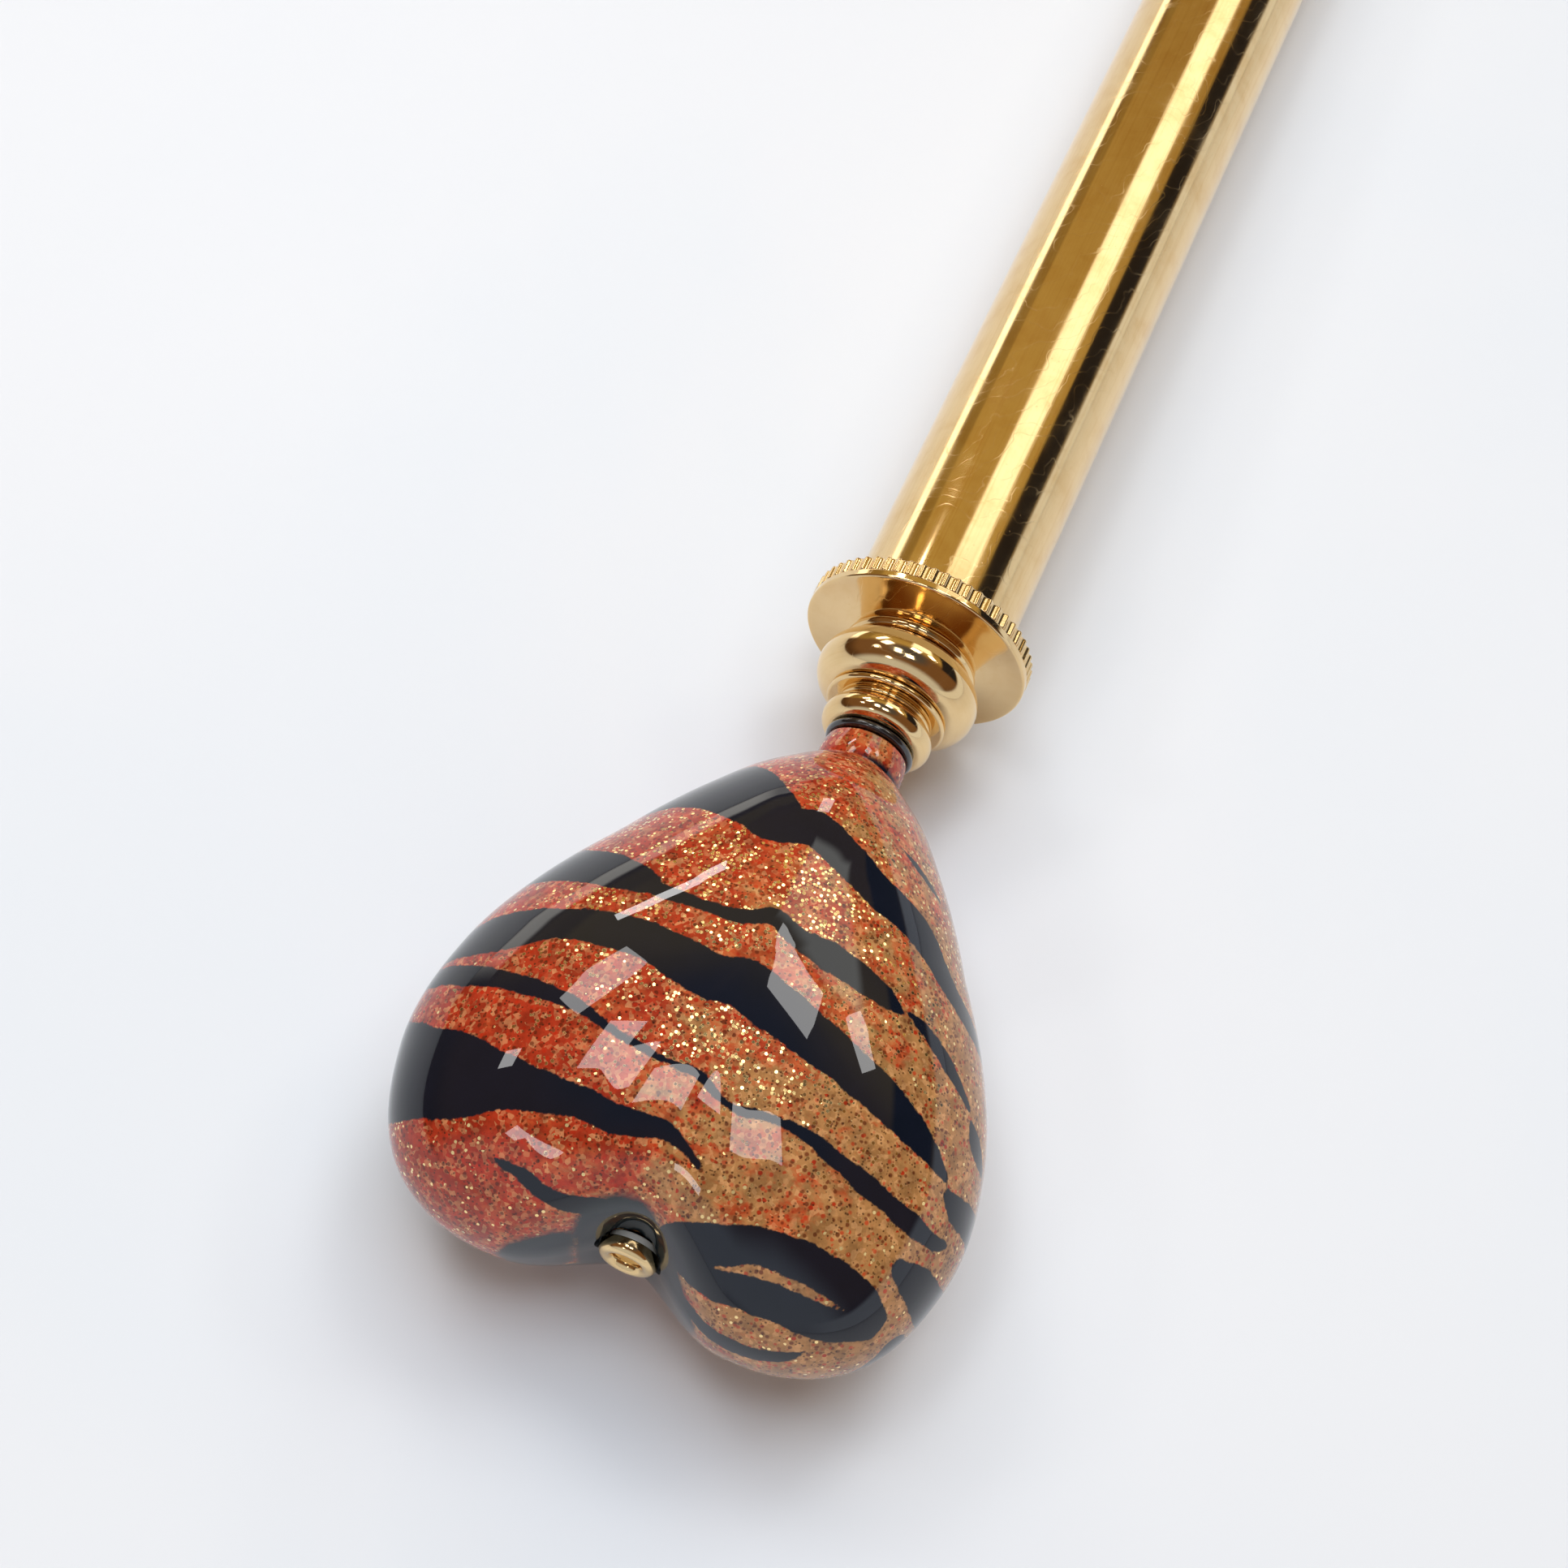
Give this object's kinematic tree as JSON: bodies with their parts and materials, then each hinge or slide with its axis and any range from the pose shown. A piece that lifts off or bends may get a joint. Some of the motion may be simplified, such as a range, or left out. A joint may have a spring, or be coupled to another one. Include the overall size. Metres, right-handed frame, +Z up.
{
  "type": "dip pen",
  "caption": "Dip pen with a polished metal barrel, a flanged bead finial carrying a striped glass heart, a grooved grip and a spiral-fluted glass nib.",
  "frame": {"origin": "on the table, under the middle of the pen's bounding box, with the pen lying at rest on its heart and on the lip of its grip", "axes": "+X along the pen towards the nib, tipped down 1.73 degrees with the pen's own axis; +Z up, the heart's face normal; +Y to the left of someone looking along +X"},
  "size_m": [0.1922, 0.029, 0.0172],
  "materials": {
    "gold_barrel": "gold plate over brass tube, mirror polished",
    "gold_polished": "gold plate, mirror polished beads and flange",
    "gold_milled": "gold plate over a notched rim",
    "gold_grip": "gold plate, turned grooves, lightly handled",
    "brass_turned": "turned brass, unplated",
    "striped_glass": "cased soda glass, orange to tan with dark stripes and gold glitter, fire polished",
    "nib_glass": "clear glass, pulled spiral flutes",
    "black_gloss": "glossy black washer",
    "rubber_black": "moulded rubber ring",
    "silicone_clear": "translucent silicone"
  },
  "bodies": {
    "barrel": {"barrel_tube": "gold_barrel", "rear_plug": "brass_turned", "rod_nut": "brass_turned", "tie_rod": "brass_turned", "front_bush": "brass_turned", "milled_ring": "gold_milled", "flange_cove": "gold_polished", "bead_collar": "gold_polished", "ring_large": "gold_polished", "ring_small": "gold_polished", "neck_washer": "black_gloss"},
    "large_bead": {"large_bead": "gold_polished"},
    "small_bead": {"small_bead": "gold_polished"},
    "heart": {"glass_heart": "striped_glass"},
    "cap_washer": {"cleft_washer": "silicone_clear"},
    "end_cap": {"end_cap": "gold_polished"},
    "o_ring": {"section_o_ring": "rubber_black"},
    "section": {"grip_section": "gold_grip", "collet": "brass_turned", "nib_cushion": "silicone_clear"},
    "clamp_ring": {"clamp_ring": "brass_turned"},
    "nose_cone": {"nose_cone": "gold_grip"},
    "nib": {"glass_nib": "nib_glass", "nib_sleeve": "silicone_clear"}
  },
  "joints": [
    {"name": "heart_turn", "type": "hinge", "parent": "barrel", "child": "heart", "pos_m": [-0.08064, 0, 0.0086], "axis": [-0.9995, 0, 0.0301], "continuous": true},
    {"name": "large_bead_turn", "type": "hinge", "parent": "barrel", "child": "large_bead", "pos_m": [-0.05923, 0, 0.00795], "axis": [-0.9995, 0, 0.0301], "continuous": true},
    {"name": "small_bead_turn", "type": "hinge", "parent": "barrel", "child": "small_bead", "pos_m": [-0.06215, 0, 0.00804], "axis": [-0.9995, 0, 0.0301], "continuous": true},
    {"name": "end_cap_travel", "type": "slide", "parent": "barrel", "child": "cap_washer", "axis": [-0.9995, 0, 0.0301], "range_m": [0, 0.0035]},
    {"name": "end_cap_unscrew", "type": "hinge", "parent": "cap_washer", "child": "end_cap", "pos_m": [-0.09363, 0, 0.00899], "axis": [-0.9995, 0, 0.0301], "range_deg": [0, 3600]},
    {"name": "section_travel", "type": "slide", "parent": "barrel", "child": "o_ring", "axis": [0.9995, 0, -0.0301], "range_m": [0, 0.008]},
    {"name": "section_unscrew", "type": "hinge", "parent": "o_ring", "child": "section", "pos_m": [0.03058, 0, 0.00524], "axis": [0.9995, 0, -0.0301], "range_deg": [0, 2880]},
    {"name": "nose_travel", "type": "slide", "parent": "section", "child": "clamp_ring", "axis": [0.9995, 0, -0.0301], "range_m": [0, 0.003]},
    {"name": "nose_unscrew", "type": "hinge", "parent": "clamp_ring", "child": "nose_cone", "pos_m": [0.06161, 0, 0.00431], "axis": [0.9995, 0, -0.0301], "range_deg": [0, 2160]},
    {"name": "nib_pull", "type": "slide", "parent": "section", "child": "nib", "axis": [0.9995, 0, -0.0301], "range_m": [0, 0.021]}
  ],
  "couplings": [
    {"joint": "end_cap_unscrew", "follows": "end_cap_travel", "rad_per_m": 17952},
    {"joint": "section_unscrew", "follows": "section_travel", "rad_per_m": 6283.2},
    {"joint": "nose_unscrew", "follows": "nose_travel", "rad_per_m": 12566}
  ]
}
